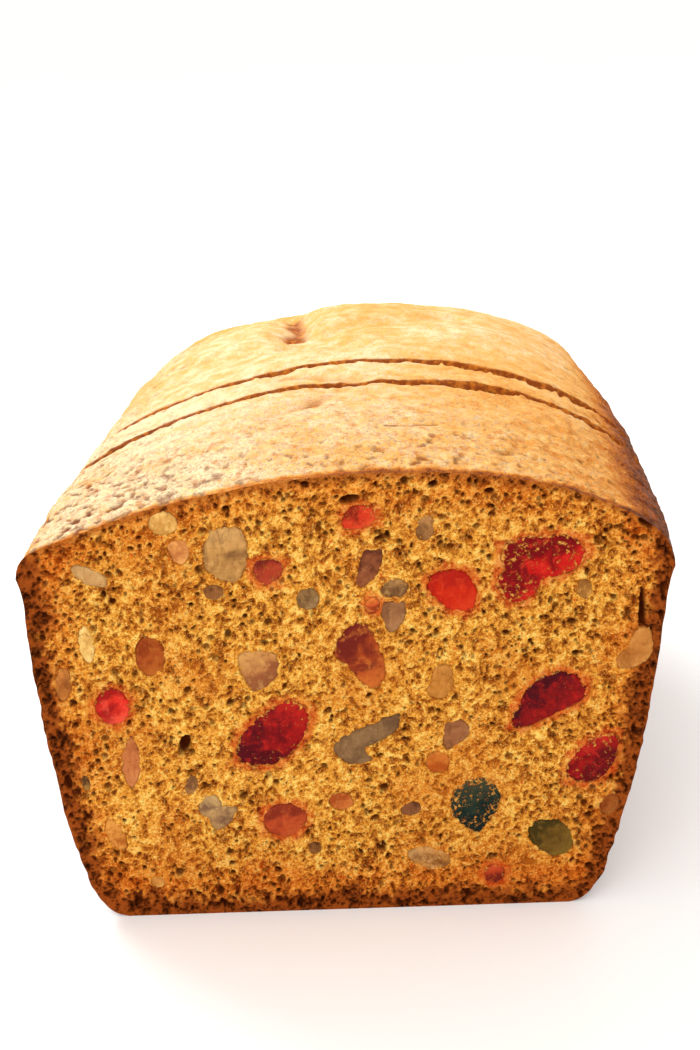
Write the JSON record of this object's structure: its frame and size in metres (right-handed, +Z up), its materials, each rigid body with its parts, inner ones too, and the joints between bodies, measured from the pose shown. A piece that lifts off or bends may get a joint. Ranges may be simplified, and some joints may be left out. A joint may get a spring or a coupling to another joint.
{
  "type": "fruit cake",
  "caption": "Fruit cake baked in a loaf tin, cut across to show candied fruit and nuts, with its slices standing together.",
  "frame": {"origin": "middle of the flat base of the cake, on the surface that it stands on", "axes": "+X across the cake, +Y along it from the cut face to the baked far end, +Z up"},
  "size_m": [0.1236, 0.1888, 0.0966],
  "materials": {
    "cake": "baked crumb and crust: matte, porous, golden brown",
    "candied_red": "sticky candied cherry, glossy and slightly see-through",
    "candied_green": "sticky candied cherry and citron, dark green, glossy",
    "walnut": "cut walnut or pecan, waxy, with darker skin",
    "almond": "pale cut almond, waxy",
    "raisin": "soft dark raisin, dull skin and moist cut",
    "sultana": "soft amber sultana, moist",
    "date": "soft dark red-brown date, moist",
    "apricot": "moist orange dried apricot or papaya",
    "pineapple": "pale candied pineapple, moist"
  },
  "bodies": {
    "root": {"front_slice": "cake", "middle_slice": "cake", "loaf_end": "cake", "almond_1": "almond", "almond_2": "almond", "almond_3": "almond", "almond_4": "almond", "almond_5": "almond", "almond_6": "almond", "apricot_1": "apricot", "apricot_2": "apricot", "apricot_3": "apricot", "apricot_4": "apricot", "apricot_5": "apricot", "cherry_1": "candied_red", "cherry_10": "candied_red", "cherry_2": "candied_red", "cherry_3": "candied_red", "cherry_4": "candied_red", "cherry_5": "candied_red", "cherry_6": "candied_red", "cherry_7": "candied_red", "cherry_8": "candied_red", "cherry_9": "candied_red", "date_1": "date", "green_cherry_1": "candied_green", "green_cherry_2": "candied_green", "green_citron_1": "candied_green", "pecan_1": "walnut", "pineapple_1": "pineapple", "raisin_1": "raisin", "raisin_2": "raisin", "raisin_3": "raisin", "raisin_4": "raisin", "raisin_5": "raisin", "sultana_1": "sultana", "walnut_1": "walnut", "walnut_10": "walnut", "walnut_11": "walnut", "walnut_12": "walnut", "walnut_13": "walnut", "walnut_2": "walnut", "walnut_3": "walnut", "walnut_4": "walnut", "walnut_5": "walnut", "walnut_6": "walnut", "walnut_7": "walnut", "walnut_8": "walnut", "walnut_9": "walnut"}
  },
  "joints": []
}
